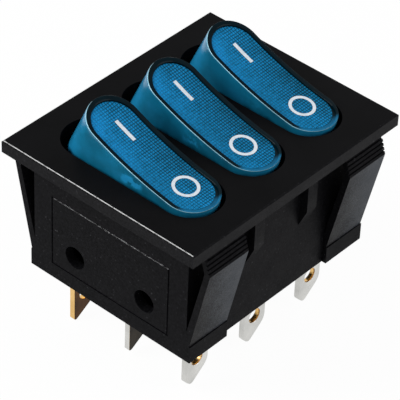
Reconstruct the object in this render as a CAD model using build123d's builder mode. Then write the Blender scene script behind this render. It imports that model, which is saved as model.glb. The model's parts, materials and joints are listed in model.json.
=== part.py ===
from build123d import *
from math import cos, radians, sin, sqrt, tan
import os

os.makedirs("parts", exist_ok=True)

# Triple illuminated rocker switch that snaps into a panel cut-out, in millimetres.
# The origin is the middle of the flange's underside, where the panel seats.
# +X runs along the row of rockers, +Y points to their I ends and +Z out of the panel.
# The rockers stand at O, with their I ends up.

# Row of switches
switch_count = 3
switch_pitch = 10.85
cut_overrun = 1.0

# Housing: flange, body and cells
flange_length = 38.0
flange_width = 31.3
flange_thickness = 1.8
flange_chamfer = 0.2
body_length = 32.7
body_width = 25.5
body_depth = 18.1
floor_thickness = 1.6
end_wall = 1.5

# Housing: snap latches on the two long walls
latch_width = 6.9
latch_base_proud = 0.65
latch_base_height = 2.5
latch_root_height = 4.75
latch_step = 0.15
latch_crest_proud = 3.3
latch_crest_drop = 2.8
latch_top_drop = 0.55
latch_head_lean = 0.65
latch_arm = 0.85
latch_teeth = 4
tooth_depth = 0.22
tooth_share = 0.6

# Housing: locating ribs, side holes and the bare panel outlined on one end face
rib_place = 4.95
rib_width = 1.8
rib_proud = 1.2
rib_height = 6.2
rib_taper = 2.7
side_hole_diameter = 3.2
side_hole_place = 5.8
side_hole_drop = 12.75
outline_length = 19.6
outline_height = 10.8
outline_drop = 10.5
outline_line = 0.25
outline_depth = 0.12

# Rocker: a hollow cap with a dished face, whose end walls lean in towards the rim
pivot_drop = 1.3
rocker_tilt = 16.5
rocker_width = 7.5
rim_reach = 10.1
foot_reach = 11.2
end_round_share = 0.98
rocker_height = 5.5
rocker_dish = 48.5
rocker_skirt = 1.8
rocker_wall = 0.9
hollow_chamfer = 1.5
rim_width = 0.75
rim_height = 0.2
opening_steps = 3
side_clearance = 0.4
end_clearance = 0.4
trunnion_diameter = 2.4
trunnion_bite = 0.75
trunnion_fit = 0.05
trunnion_end_gap = 0.15

# Plunger and its spring, in the stem under the rocker
stem_width = 3.7
plunger_diameter = 2.4
plunger_fit = 0.05
plunger_foot_rise = 6.2
plunger_head_drop = 2.8
plunger_proud = 3.0
spring_space = 4.2
spring_turns = 3
coil_sides = 8
spring_wire = 0.35
spring_radius = 0.85
spring_end_gap = 0.05

# Terminals
tab_width = 4.0
tab_thickness = 0.8
tab_drop = 26.7
lamp_tab_drop = 27.5
tab_hole_diameter = 2.1
tab_hole_rise = 3.7
point_width = 0.45
point_chamfer = 0.15
blunt_width = 1.3
blunt_chamfer = 0.8
tab_bevel_rise = 2.2
tab_shoulder_round = 1.8
tab_row = 9.6
blade_width = 5.0
bend_radius = 0.8
slot_fit = 0.05
load_shelf = 5.8
lamp_shelf = 2.2

# See-saw contact bridge and the contact pair
bridge_tilt = 9.0
bridge_thickness = 0.4
bridge_width = 4.4
bridge_fit = 0.05
bridge_contact_arm = 6.3
bridge_rest_arm = 5.0
plunger_clearance = 0.2
contact_place = 5.2
contact_width = 2.4
moving_length = 1.8
fixed_length = 2.2
contact_head = 0.6
contact_gap = 0.12
stop_place = 4.2
stop_width = 3.0
stop_thickness = 1.0
stop_gap = 0.15

# Lamp, resistor, their leads and the springs that feed them
lamp_rise = 2.5
lamp_diameter = 3.4
lamp_start = 2.2
lamp_length = 5.0
lead_wire = 0.4
lead_place = 0.6
lead_turn = 0.6
lead_run = 2.2
lead_reach = 8.4
lead_tip_rise = -2.2
lead_joint = 3.4
resistor_start = 4.4
resistor_length = 3.4
resistor_diameter = 2.2
solder_gap = 0.05
feed_radius = 0.75
feed_turns = 3
feed_wire = 0.35
feed_gap = 0.25

# Worked out from the sizes above
rim_rise = rocker_height + rocker_dish - sqrt(rocker_dish**2 - rim_reach**2)
end_lean = (foot_reach - rim_reach) / (rocker_skirt + rim_rise)
opening_width = rocker_width + 2 * side_clearance
opening_reach = sqrt(rim_reach**2 + rim_rise**2) + end_clearance
opening_top = pivot_drop + flange_thickness
chamber_reach = body_width / 2 - end_wall
chamber_drop = sqrt(opening_reach**2 - chamber_reach**2)
wall_face = body_width / 2
end_face = body_length / 2
floor_top = floor_thickness - body_depth
face_height = rocker_height - rim_height
ceiling_height = face_height - rocker_wall
bore_diameter = plunger_diameter + 2 * plunger_fit
plunger_drop = -floor_top - pivot_drop - plunger_foot_rise
plunger_length = plunger_drop - plunger_head_drop
stem_drop = plunger_drop - plunger_proud
plunger_top = -plunger_head_drop
bore_top = plunger_top + spring_space
nose_radius = tab_thickness / 2
hump_radius = nose_radius + bridge_fit + bridge_thickness
fulcrum_drop = pivot_drop + plunger_drop + plunger_clearance + hump_radius
closed_angle = radians(bridge_tilt)
closed_place = contact_place * cos(closed_angle) - contact_head * sin(closed_angle)
edge_place = contact_place + moving_length / 2
closed_drop = edge_place * sin(closed_angle) + contact_head * cos(closed_angle)
shelf_top = -fulcrum_drop - closed_drop - contact_gap - contact_head
switch_places = [(i - (switch_count - 1) / 2) * switch_pitch for i in range(switch_count)]


def turned_plane(x, drop, angle):
    # A plane across X at depth drop, with its +Y edge turned up by angle
    turn = radians(angle)
    return Plane(origin=(x, 0, -drop), x_dir=(1, 0, 0), z_dir=(0, -sin(turn), cos(turn)))


def side_plane(plane):
    # The same frame seen from its side: across is its Y, up is its Z
    return Plane(origin=plane.origin, x_dir=plane.y_dir, z_dir=plane.x_dir)


def wheel_block(plane, width, reach, low, high, steps):
    # Round-ended slots stacked from low to high, their ends on a circle about the pivot
    with BuildPart() as block:
        for i in range(steps + 1):
            level = low + (high - low) * i / steps
            with BuildSketch(plane.offset(level)):
                SlotOverall(2 * sqrt(reach**2 - level**2), width, rotation=90)
        loft(ruled=True)
    return block.part


def dished_outline(height, skirt):
    # Side view under the dished top, wider than the rocker
    span = foot_reach + cut_overrun
    edge = height + rocker_dish - sqrt(rocker_dish**2 - span**2)
    with BuildLine() as outline:
        ThreePointArc((-span, edge), (0, height), (span, edge))
        Polyline((span, edge), (span, -skirt), (-span, -skirt), (-span, edge))
    make_face(outline.edges())


def latch_outline():
    # Section of a latch from its base up the outer face, over the toothed head and down inside
    base_top = latch_base_height - body_depth
    base = wall_face + latch_base_proud
    crest = wall_face + latch_crest_proud
    points = [(wall_face - end_wall, -body_depth), (base, -body_depth), (base, base_top)]
    points += [(base - latch_step, base_top)]
    head_rise = latch_crest_drop - latch_top_drop
    for i in range(latch_teeth):
        groove = i + tooth_share
        for share, depth in ((i, 0), (groove, 0), (groove, tooth_depth), (i + 1, tooth_depth)):
            up = share / latch_teeth
            points += [(crest - up * latch_head_lean - depth, up * head_rise - latch_crest_drop)]
    points += [(crest - latch_head_lean - latch_arm, -latch_top_drop)]
    points += [(crest - latch_arm, -latch_crest_drop)]
    root = latch_root_height - body_depth
    return points + [(wall_face, root), (wall_face - end_wall, root)]


def rib_outline():
    # Section of a locating rib, full under the flange and tapered into the wall
    foot = rib_height + rib_taper
    rib_face = wall_face + rib_proud
    inside = wall_face - end_wall
    return [(inside, 0), (rib_face, 0), (rib_face, -rib_height), (wall_face, -foot), (inside, -foot)]


def wall_section(points, side, start, length):
    # A section drawn for the +Y wall, put on either long wall and drawn out along X
    with BuildSketch(Plane.YZ.offset(start)) as section:
        with BuildLine():
            Polyline(*[(side * y, z) for y, z in points], close=True)
        make_face()
    extrude(section.sketch, amount=length)


openings = [
    wheel_block(
        Plane((x, 0, -pivot_drop)), opening_width, opening_reach, -chamber_drop, opening_top, opening_steps
    )
    for x in switch_places
]

with BuildPart() as housing:
    with BuildSketch(Plane.XY.offset(-body_depth)):
        Rectangle(body_length, body_width)
    extrude(amount=body_depth)
    with BuildSketch():
        Rectangle(flange_length, flange_width)
    extrude(amount=flange_thickness)
    chamfer(housing.faces().sort_by(Axis.Z)[-1].edges(), flange_chamfer)
    for side in (-1, 1):
        for start in (-end_face, end_face - latch_width):
            wall_section(latch_outline(), side, start, latch_width)
        for middle in (-rib_place, rib_place):
            wall_section(rib_outline(), side, middle - rib_width / 2, rib_width)
    # Pivot holes for the trunnions, through the walls between cells and blind in the end walls
    pivot_span = switch_places[-1] + opening_width / 2 + trunnion_bite + trunnion_end_gap
    with BuildSketch(Plane.YZ):
        with Locations((0, -pivot_drop)):
            Circle(trunnion_diameter / 2 + trunnion_fit)
    extrude(amount=pivot_span, both=True, mode=Mode.SUBTRACT)
    for x, opening in zip(switch_places, openings):
        # Cell: an opening that follows the rocker's ends, over a straight chamber
        add(opening, mode=Mode.SUBTRACT)
        with BuildSketch(Plane.XY.offset(floor_top)):
            with Locations((x, 0)):
                Rectangle(opening_width, 2 * chamber_reach)
        extrude(amount=-floor_top - pivot_drop - chamber_drop, mode=Mode.SUBTRACT)
        # Stop under the rest arm of the contact bridge
        stop_top = -fulcrum_drop - (stop_place + stop_thickness / 2) * tan(closed_angle) - stop_gap
        with BuildSketch(Plane.XY.offset(floor_top)):
            with Locations((x, stop_place)):
                Rectangle(stop_width, stop_thickness)
        extrude(amount=stop_top - floor_top)
        # Slots for the three terminals
        with BuildSketch(Plane.XY.offset(-body_depth)):
            with Locations((x, -tab_row), (x, 0), (x, tab_row)):
                Rectangle(tab_width + 2 * slot_fit, tab_thickness + 2 * slot_fit)
        extrude(amount=floor_thickness, mode=Mode.SUBTRACT)
    # Round holes through the two end walls
    end_skin = end_face - switch_places[-1] - opening_width / 2
    for start in (-end_face, end_face - end_skin):
        with BuildSketch(Plane.YZ.offset(start)):
            with Locations((-side_hole_place, -side_hole_drop), (side_hole_place, -side_hole_drop)):
                Circle(side_hole_diameter / 2)
        extrude(amount=end_skin, mode=Mode.SUBTRACT)
    # Outline of the bare panel on the near end face
    with BuildSketch(Plane.YZ.offset(-end_face)):
        with Locations((0, -outline_drop)):
            Rectangle(outline_length, outline_height)
            inner_length = outline_length - 2 * outline_line
            Rectangle(inner_length, outline_height - 2 * outline_line, mode=Mode.SUBTRACT)
    extrude(amount=outline_depth, mode=Mode.SUBTRACT)
housing.part.label = "housing"
export_step(housing.part, "parts/housing.step")


def make_rocker(frame):
    # Dished cap with a raised rim, a stem for the plunger and a trunnion on each side
    side = side_plane(frame)
    rim_top = rim_rise + cut_overrun
    with BuildPart() as hollow:
        with BuildSketch(frame.offset(-rocker_skirt)) as pocket:
            Rectangle(rocker_width - 2 * rocker_wall, 2 * (rim_reach - rim_width))
            chamfer(pocket.vertices(), hollow_chamfer)
        extrude(amount=rocker_skirt + rim_top)
        with BuildSketch(side):
            dished_outline(ceiling_height, rocker_skirt)
        extrude(amount=rocker_width, both=True, mode=Mode.INTERSECT)
    with BuildPart() as slab:
        with BuildSketch(frame):
            SlotOverall(2 * (rim_reach - rim_width), rocker_width - 2 * rim_width, rotation=90)
        extrude(amount=rim_top)
        with BuildSketch(side):
            dished_outline(face_height, rocker_skirt)
        extrude(amount=rocker_width, both=True, mode=Mode.INTERSECT)
    with BuildPart() as rocker:
        with BuildSketch(side):
            with BuildLine():
                top_reach = rim_reach - end_lean * cut_overrun
                foot = [(foot_reach, -rocker_skirt), (-foot_reach, -rocker_skirt)]
                Polyline(*foot, (-top_reach, rim_top), (top_reach, rim_top), close=True)
            make_face()
        extrude(amount=rocker_width / 2, both=True)
        # The four upright edges are the shortest that don't run across the rocker
        upright = rocker.edges().filter_by(Axis.X, reverse=True).sort_by(SortBy.LENGTH)[:4]
        fillet(upright, end_round_share * rocker_width / 2)
        with BuildSketch(side):
            dished_outline(rocker_height, rocker_skirt)
        extrude(amount=rocker_width, both=True, mode=Mode.INTERSECT)
        with BuildSketch(frame):
            SlotOverall(2 * (rim_reach - rim_width), rocker_width - 2 * rim_width, rotation=90)
        extrude(amount=rim_top, mode=Mode.SUBTRACT)
        add(slab.part)
        add(hollow.part, mode=Mode.SUBTRACT)
        with BuildSketch(frame.offset(-stem_drop)):
            Rectangle(stem_width, stem_width)
        extrude(amount=stem_drop + ceiling_height + rocker_wall / 2)
        with BuildSketch(frame.offset(-stem_drop)):
            Circle(bore_diameter / 2)
        extrude(amount=stem_drop + bore_top, mode=Mode.SUBTRACT)
        for way in (-1, 1):
            with BuildSketch(side.offset(way * (rocker_width - rocker_wall) / 2)):
                Circle(trunnion_diameter / 2)
            extrude(amount=way * (rocker_wall / 2 + side_clearance + trunnion_bite))
    return rocker.part


def make_plunger(frame):
    # Pin that slides in the stem's bore, its tip rounded across the bridge
    radius = plunger_diameter / 2
    with BuildPart() as plunger:
        with BuildSketch(frame.offset(-plunger_drop)):
            Circle(radius)
        extrude(amount=plunger_length)
        with BuildSketch(side_plane(frame)):
            with Locations((0, radius - plunger_drop)):
                Circle(radius)
                Rectangle(plunger_diameter, plunger_length - radius, align=(Align.CENTER, Align.MIN))
        extrude(amount=radius, both=True, mode=Mode.INTERSECT)
    return plunger.part


def square_wire(points, wire, across):
    # Wire of square section along straight runs with mitred corners
    with BuildPart() as piece:
        with BuildLine() as path:
            Polyline(*points)
        with BuildSketch(Plane(origin=path.line @ 0, x_dir=across, z_dir=path.line % 0)):
            Rectangle(wire, wire)
        sweep(transition=Transition.RIGHT)
    return piece.part


def make_coil(plane, length, turns, radius, wire):
    # Open coil in straight runs, standing on a plane
    runs = turns * coil_sides
    points = []
    for i in range(runs + 1):
        turn = radians(360 * i / coil_sides)
        rise = wire / 2 + (length - wire) * i / runs
        points += [plane.from_local_coords((radius * cos(turn), radius * sin(turn), rise))]
    return square_wire(points, wire, plane.x_dir)


def solder_tab(x, y, drop, tip_width, tip_chamfer):
    # Pierced tab below the floor: one straight edge, a narrow tip and one bevelled edge
    left = x - tab_width / 2
    right = x + tab_width / 2
    tip = -drop
    with BuildSketch(Plane.XZ.offset(-y)) as tab:
        with BuildLine():
            points = [(left, floor_top), (left, tip), (left + tip_width, tip)]
            points += [(right, tip + tab_bevel_rise), (right, floor_top)]
            Polyline(*points, close=True)
        make_face()
        shoulder = tab.vertices().sort_by_distance((right, tip + tab_bevel_rise))[0]
        fillet(shoulder, tab_shoulder_round)
        chamfer(tab.vertices().sort_by_distance((left, tip))[0], tip_chamfer)
        with Locations((x, tip + tab_hole_rise)):
            Circle(tab_hole_diameter / 2, mode=Mode.SUBTRACT)
    extrude(tab.sketch, amount=tab_thickness / 2, both=True)


def make_common_terminal(x):
    # Flat terminal whose round top carries the contact bridge
    with BuildPart() as terminal:
        with BuildSketch(Plane.YZ.offset(x)):
            with Locations((0, -fulcrum_drop)):
                Circle(nose_radius)
                Rectangle(tab_thickness, -fulcrum_drop - floor_top, align=(Align.CENTER, Align.MAX))
        extrude(amount=blade_width / 2, both=True)
        solder_tab(x, 0, tab_drop, point_width, point_chamfer)
    return terminal.part


def make_bent_terminal(x, row, shelf):
    # Terminal that stands on the floor and bends over into a shelf
    level = shelf_top - tab_thickness / 2
    with BuildPart() as terminal:
        with BuildSketch(Plane.YZ.offset(x)):
            with BuildLine() as run:
                corner = (row, level)
                FilletPolyline((row, floor_top), corner, (row + shelf, level), radius=bend_radius)
            trace(run.line, line_width=tab_thickness)
        extrude(amount=blade_width / 2, both=True)
    return terminal.part


def make_load_terminal(x):
    # The O row's terminal, its tab blunt
    with BuildPart() as terminal:
        add(make_bent_terminal(x, -tab_row, load_shelf))
        solder_tab(x, -tab_row, tab_drop, blunt_width, blunt_chamfer)
    return terminal.part


def make_lamp_terminal(x):
    # The I row's terminal, its tab pointed and a little longer
    with BuildPart() as terminal:
        add(make_bent_terminal(x, tab_row, -lamp_shelf))
        solder_tab(x, tab_row, lamp_tab_drop, point_width, point_chamfer)
    return terminal.part


def make_contact(seat, length):
    # Contact pad of cut tape, welded to its seat
    with BuildPart() as contact:
        with BuildSketch(seat):
            Rectangle(contact_width, length)
        extrude(amount=contact_head)
    return contact.part


def make_bridge(frame):
    # See-saw strip humped over the common terminal's round top
    with BuildPart() as bridge:
        with BuildSketch(side_plane(frame)):
            with Locations((-bridge_contact_arm, 0)):
                strip_length = bridge_contact_arm + bridge_rest_arm
                Rectangle(strip_length, bridge_thickness, align=(Align.MIN, Align.MIN))
            Circle(hump_radius)
            Circle(hump_radius - bridge_thickness, mode=Mode.SUBTRACT)
            below = (Align.CENTER, Align.MAX)
            Rectangle(2 * hump_radius, hump_radius, align=below, mode=Mode.SUBTRACT)
        extrude(amount=bridge_width / 2, both=True)
    return bridge.part


def make_lamp(frame):
    # Glow lamp lying along the rocker, one lead to its feed spring and one to the resistor
    base = lamp_start + lamp_length
    turn = base + lead_turn
    joint = lead_wire / 2 + solder_gap
    feed_path = [(-lead_place, base, lamp_rise), (-lead_place, lead_reach, lamp_rise)]
    feed_path += [(-lead_place, lead_reach, lead_tip_rise)]
    link_path = [(lead_place, base, lamp_rise), (lead_place, turn, lamp_rise), (lead_run, turn, lamp_rise)]
    link_path += [(lead_run, -lead_joint, lamp_rise), (joint, -lead_joint, lamp_rise)]
    paths = [[frame.from_local_coords(point) for point in path] for path in (feed_path, link_path)]
    leads = [square_wire(path, lead_wire, frame.x_dir) for path in paths]
    cap = frame.from_local_coords((0, base, lamp_rise))
    with BuildPart() as lamp:
        with BuildSketch(Plane(origin=cap, z_dir=-frame.y_dir)):
            Circle(lamp_diameter / 2)
        extrude(amount=lamp_length)
        for lead in leads:
            add(lead)
    return lamp.part


def make_resistor(frame):
    # Series resistor, one lead to the lamp and one to its feed spring
    far = resistor_start + resistor_length
    near = lead_joint - lead_wire
    link_path = [(0, -resistor_start, lamp_rise), (0, -near, lamp_rise)]
    feed_path = [(0, -far, lamp_rise), (0, -lead_reach, lamp_rise), (0, -lead_reach, lead_tip_rise)]
    paths = [[frame.from_local_coords(point) for point in path] for path in (link_path, feed_path)]
    leads = [square_wire(path, lead_wire, frame.x_dir) for path in paths]
    cap = frame.from_local_coords((0, -resistor_start, lamp_rise))
    with BuildPart() as resistor:
        with BuildSketch(Plane(origin=cap, z_dir=-frame.y_dir)):
            Circle(resistor_diameter / 2)
        extrude(amount=resistor_length)
        for lead in leads:
            add(lead)
    return resistor.part


def make_feed_spring(frame, across, reach):
    # Feed spring between a terminal shelf and the end of a lead above it
    tip = frame.from_local_coords((across, reach, lead_tip_rise))
    foot = Plane(origin=(tip.X + feed_radius, tip.Y, shelf_top))
    return make_coil(foot, tip.Z - feed_gap - shelf_top, feed_turns, feed_radius, feed_wire)


for number, x in enumerate(switch_places, start=1):
    rocker_frame = turned_plane(x, pivot_drop, rocker_tilt)
    bridge_frame = turned_plane(x, fulcrum_drop, -bridge_tilt)
    moving_seat = Plane(
        origin=bridge_frame.from_local_coords((0, -contact_place, 0)),
        x_dir=bridge_frame.x_dir,
        z_dir=-bridge_frame.z_dir,
    )
    fixed_seat = Plane(origin=(x, -closed_place, shelf_top))
    spring_foot = rocker_frame.offset(plunger_top + spring_end_gap)
    spring_length = spring_space - 2 * spring_end_gap
    pieces = {
        "rocker": make_rocker(rocker_frame),
        "plunger": make_plunger(rocker_frame),
        "plunger_spring": make_coil(spring_foot, spring_length, spring_turns, spring_radius, spring_wire),
        "lamp": make_lamp(rocker_frame),
        "resistor": make_resistor(rocker_frame),
        "contact_bridge": make_bridge(bridge_frame),
        "moving_contact": make_contact(moving_seat, moving_length),
        "common_terminal": make_common_terminal(x),
        "load_terminal": make_load_terminal(x),
        "fixed_contact": make_contact(fixed_seat, fixed_length),
        "lamp_terminal": make_lamp_terminal(x),
        "lamp_spring": make_feed_spring(rocker_frame, -lead_place, lead_reach),
        "resistor_spring": make_feed_spring(rocker_frame, 0, -lead_reach),
    }
    for kind, part in pieces.items():
        part.label = f"{kind}_{number}"
        export_step(part, f"parts/{part.label}.step")
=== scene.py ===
import bpy
import bmesh
import json
from math import copysign, cos, pi, radians, sin, sqrt
from mathutils import Matrix, Vector


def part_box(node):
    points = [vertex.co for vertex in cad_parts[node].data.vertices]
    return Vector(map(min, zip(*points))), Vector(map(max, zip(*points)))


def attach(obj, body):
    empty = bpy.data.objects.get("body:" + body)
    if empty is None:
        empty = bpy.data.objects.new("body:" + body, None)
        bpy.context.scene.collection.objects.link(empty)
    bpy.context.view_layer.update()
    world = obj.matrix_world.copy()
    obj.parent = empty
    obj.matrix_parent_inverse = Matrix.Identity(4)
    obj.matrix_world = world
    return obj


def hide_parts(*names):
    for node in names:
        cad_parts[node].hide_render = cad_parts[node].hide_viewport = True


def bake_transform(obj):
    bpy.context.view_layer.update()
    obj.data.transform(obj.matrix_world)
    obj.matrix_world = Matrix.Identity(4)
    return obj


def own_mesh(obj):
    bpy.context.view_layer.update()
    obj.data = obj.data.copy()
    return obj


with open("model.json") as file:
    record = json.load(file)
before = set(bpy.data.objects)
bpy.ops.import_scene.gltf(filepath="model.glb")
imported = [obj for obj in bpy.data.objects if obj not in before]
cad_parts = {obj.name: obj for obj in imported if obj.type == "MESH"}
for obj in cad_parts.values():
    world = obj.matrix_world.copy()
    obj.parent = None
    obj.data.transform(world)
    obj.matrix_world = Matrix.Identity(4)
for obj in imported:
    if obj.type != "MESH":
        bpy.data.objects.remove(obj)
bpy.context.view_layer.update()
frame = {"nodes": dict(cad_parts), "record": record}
nodes = frame["nodes"]
mm = 0.001
switchNumbers = (1, 2, 3)
switchPitch = 10.85 * mm
weldGap = 0.001 * mm
print("frame loaded:", len(nodes), "nodes")


def switchX(number):
    return (number - 2) * switchPitch


# materials

def newMaterial(name):
    material = bpy.data.materials.new(name)
    material.use_nodes = True
    nodeTree = material.node_tree
    return material, nodeTree.nodes, nodeTree.links, nodeTree.nodes["Principled BSDF"]


def noiseOn(treeNodes, links, coords, scale, detail=4.0, roughness=0.55):
    noise = treeNodes.new("ShaderNodeTexNoise")
    noise.inputs["Scale"].default_value = scale
    noise.inputs["Detail"].default_value = detail
    noise.inputs["Roughness"].default_value = roughness
    links.new(coords, noise.inputs["Vector"])
    return noise.outputs["Fac"]


def rampOn(treeNodes, links, value, stops):
    ramp = treeNodes.new("ShaderNodeValToRGB")
    elements = ramp.color_ramp.elements
    while len(elements) < len(stops):
        elements.new(0.5)
    for element, (place, colour) in zip(elements, stops):
        element.position = place
        element.color = (*colour, 1.0)
    links.new(value, ramp.inputs["Fac"])
    return ramp.outputs["Color"]


def bumpOn(treeNodes, links, height, strength, distance):
    bump = treeNodes.new("ShaderNodeBump")
    bump.inputs["Strength"].default_value = strength
    bump.inputs["Distance"].default_value = distance
    links.new(height, bump.inputs["Height"])
    return bump.outputs["Normal"]


def mathOn(treeNodes, links, operation, *values):
    step = treeNodes.new("ShaderNodeMath")
    step.operation = operation
    for socket, value in zip(step.inputs, values):
        if isinstance(value, (int, float)):
            socket.default_value = value
        else:
            links.new(value, socket)
    return step.outputs["Value"]


def sumOn(treeNodes, links, total, *others):
    for other in others:
        total = mathOn(treeNodes, links, "ADD", total, other)
    return total


def swayOn(treeNodes, links, coords, scale, spread, detail=3.0):
    # noise that sways this much about 0
    noise = noiseOn(treeNodes, links, coords, scale, detail)
    return mathOn(treeNodes, links, "MULTIPLY_ADD", noise, spread, -spread / 2)


def objectCoords(treeNodes):
    return treeNodes.new("ShaderNodeTexCoord").outputs["Object"]


def attributeOn(treeNodes, name):
    attribute = treeNodes.new("ShaderNodeAttribute")
    attribute.attribute_name = name
    return attribute.outputs["Fac"]


def grey(level):
    return (level, level, level)


def setGloss(shader, roughness, shine):
    shader.inputs["Roughness"].default_value = roughness
    shader.inputs["Specular IOR Level"].default_value = shine


plasticLook = {
    "grainStops": (0.3, 0.66),
    "speckStops": (0.68, 0.74),
    "glossScale": 420.0,
    "glossStops": (0.25, 0.8),
    "glossSpread": (-0.06, 0.08),
    "bumpScale": 6500.0,
    "bumpDepth": 0.03 * mm,
}


def mouldedPlastic(
    name, dark, pale, roughness, grain, shine=0.4, speckScale=140.0, speck=None, toneName=None
):
    material, treeNodes, links, shader = newMaterial(name)
    coords = objectCoords(treeNodes)
    patches = noiseOn(treeNodes, links, coords, speckScale)
    stops = list(zip(plasticLook["grainStops"], (dark, pale)))
    if speck:  # a few bright grains of the matt finish
        stops += zip(plasticLook["speckStops"], (pale, speck))
    if toneName:  # a mesh attribute shifts the grains, 0 leaves them as they are
        patches = sumOn(treeNodes, links, patches, attributeOn(treeNodes, toneName))
    links.new(rampOn(treeNodes, links, patches, stops), shader.inputs["Base Color"])
    spread = noiseOn(treeNodes, links, coords, plasticLook["glossScale"], 3.0)
    levels = [grey(roughness + shift) for shift in plasticLook["glossSpread"]]
    gloss = rampOn(treeNodes, links, spread, list(zip(plasticLook["glossStops"], levels)))
    links.new(gloss, shader.inputs["Roughness"])
    fine = noiseOn(treeNodes, links, coords, plasticLook["bumpScale"], 2.0)
    bump = bumpOn(treeNodes, links, fine, grain, plasticLook["bumpDepth"])
    links.new(bump, shader.inputs["Normal"])
    shader.inputs["Specular IOR Level"].default_value = shine
    return material


polishLook = {
    "dashScale": 1100.0,
    "dashRoughness": 0.7,
    "dull": (0.004, 0.004, 0.0045),
    "coolCast": 1.03,
    "dullGloss": 0.5,
    "rubbedGloss": 0.12,
    "shine": 0.8,
}


def brokenPolishAndHighlight(name, pale):
    # rubbed edge of the moulding: polished in dashes, dull between them, the dashes also painted paler as
    # a painted highlight
    material, treeNodes, links, shader = newMaterial(name)
    coords = objectCoords(treeNodes)
    rub = noiseOn(treeNodes, links, coords, polishLook["dashScale"], 3.0, polishLook["dashRoughness"])
    stops = [(0.42, polishLook["dull"]), (0.62, (pale, pale, pale * polishLook["coolCast"]))]
    links.new(rampOn(treeNodes, links, rub, stops), shader.inputs["Base Color"])
    stops = [(0.36, grey(polishLook["dullGloss"])), (0.5, grey(polishLook["rubbedGloss"]))]
    links.new(rampOn(treeNodes, links, rub, stops), shader.inputs["Roughness"])
    shader.inputs["Specular IOR Level"].default_value = polishLook["shine"]
    return material


metalLook = {
    "patchScale": 260.0,
    "lineScale": 900.0,
    "glossStops": (0.2, 0.8),
    "glossSpread": (-0.08, 0.1),
    "bump": 0.25,
    "bumpDepth": 0.02 * mm,
}


def plainMetal(name, dark, pale, roughness, stretch):
    material, treeNodes, links, shader = newMaterial(name)
    coords = objectCoords(treeNodes)
    patches = noiseOn(treeNodes, links, coords, metalLook["patchScale"])
    links.new(rampOn(treeNodes, links, patches, [(0.3, dark), (0.7, pale)]), shader.inputs["Base Color"])
    mapping = treeNodes.new("ShaderNodeMapping")
    mapping.inputs["Scale"].default_value = stretch
    links.new(coords, mapping.inputs["Vector"])
    lines = noiseOn(treeNodes, links, mapping.outputs["Vector"], metalLook["lineScale"], 3.0)
    levels = [grey(roughness + shift) for shift in metalLook["glossSpread"]]
    gloss = rampOn(treeNodes, links, lines, list(zip(metalLook["glossStops"], levels)))
    links.new(gloss, shader.inputs["Roughness"])
    bump = bumpOn(treeNodes, links, lines, metalLook["bump"], metalLook["bumpDepth"])
    links.new(bump, shader.inputs["Normal"])
    shader.inputs["Metallic"].default_value = 1.0
    return material


lensLook = {  # clouds, painted glints and ripple: scale and how far they sway the tone
    "faceClouds": (420.0, 0.36),
    "facePaintedGlints": (2300.0, 0.5, 2.0),  # with less detail
    "grooveShade": (0.75, -0.45),          # painted shade in the grooves: gain and shift of the cells' rise
    "faceGloss": (0.3, 0.04),          # roughness and shine
    "faceShades": [
        (0.0, (0.0006, 0.012, 0.02)), (0.35, (0.002, 0.06, 0.106)),
        (0.62, (0.005, 0.145, 0.3)), (1.0, (0.011, 0.26, 0.6)),
    ],
    "wallClouds": (260.0, 0.6),
    "wallTears": (1000.0, 3.0),        # scale and detail
    "wallRipple": (480.0, 0.5),
    "wallShades": [
        (0.0, (0.001, 0.008, 0.012)), (0.3, (0.003, 0.07, 0.12)),
        (0.6, (0.006, 0.145, 0.26)), (1.0, (0.014, 0.26, 0.52)),
    ],
    "sinkShades": [(0.34, (0.06, 0.07, 0.08)), (0.56, (1.0, 1.0, 1.0))],
    "wallFine": (700.0, 2.0),
    "wallBump": (0.15, 0.05 * mm),     # strength and depth
    "wallGloss": (0.16, 0.35),
    "edgeScale": 900.0,
    "edgeBase": 0.5,
    "edgeShine": 0.4,
    "edgeShades": [(0.0, (0.001, 0.012, 0.018)), (1.0, (0.32, 0.66, 0.82))],
    "rimClouds": (700.0, 0.3),
    "rimGloss": (0.15, 0.04),
    "rimShades": [
        (0.0, (0.0006, 0.005, 0.008)), (0.3, (0.001, 0.012, 0.018)), (1.0, (0.015, 0.23, 0.46)),
    ],
}


def lensFace():
    # the moulded grid is in the mesh; painted shade makes the grooves between its cells and the far side
    # deeper blue, painted light brightens the ends and one corner, and painted glints speckle it
    material, treeNodes, links, shader = newMaterial("blueLensFace")
    coords = objectCoords(treeNodes)
    clouds = swayOn(treeNodes, links, coords, *lensLook["faceClouds"])
    paintedGlints = swayOn(treeNodes, links, coords, *lensLook["facePaintedGlints"])
    cells = attributeOn(treeNodes, "cellRise")
    grooveShade = mathOn(treeNodes, links, "MULTIPLY_ADD", cells, *lensLook["grooveShade"])
    grooveShade = mathOn(treeNodes, links, "MULTIPLY", grooveShade, attributeOn(treeNodes, "grooveShadeDepth"))
    level = sumOn(treeNodes, links, attributeOn(treeNodes, "facePaintedLight"), clouds, grooveShade, paintedGlints)
    links.new(rampOn(treeNodes, links, level, lensLook["faceShades"]), shader.inputs["Base Color"])
    setGloss(shader, *lensLook["faceGloss"])
    return material


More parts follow.
